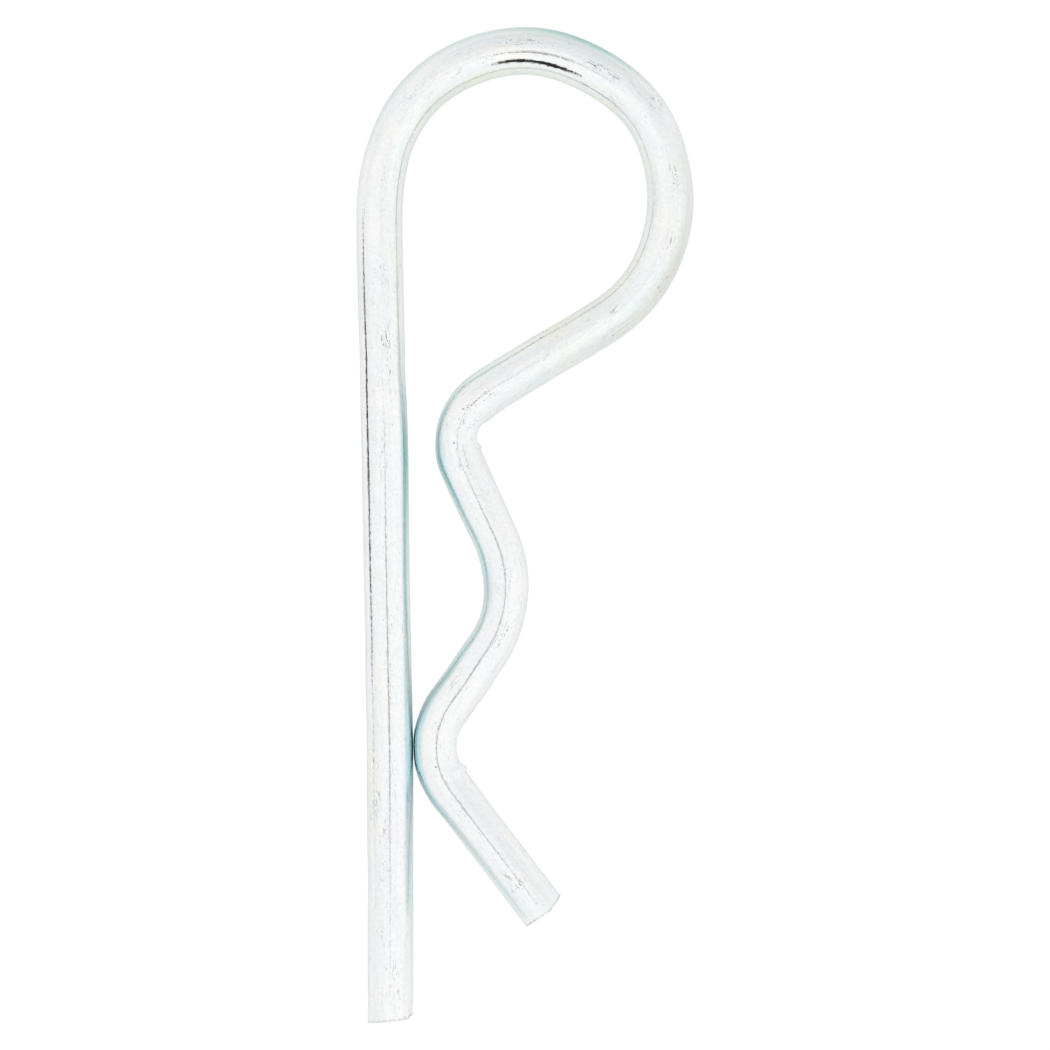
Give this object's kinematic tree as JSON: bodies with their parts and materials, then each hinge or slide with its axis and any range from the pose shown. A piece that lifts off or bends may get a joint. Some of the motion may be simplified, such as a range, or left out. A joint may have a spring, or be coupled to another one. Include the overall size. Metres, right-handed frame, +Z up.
{
  "type": "hitch clip",
  "caption": "Spring wire hitch clip: a straight leg goes through the pin's cross hole, a wavy leg snaps round the pin's side, and a round eye is the spring and finger hold.",
  "frame": {"origin": "middle of the clip's length and width, on the surface that it lies on", "axes": "+X from the straight leg towards the wavy leg, +Y along the straight leg towards the eye, +Z up, at right angles to the clip's plane"},
  "size_m": [0.029, 0.0852, 0.004],
  "materials": {
    "zinc_plated_wire": "bright zinc plating with a clear blue passivation over drawn spring steel wire"
  },
  "bodies": {
    "root": {"clip_wire": "zinc_plated_wire"}
  },
  "joints": []
}
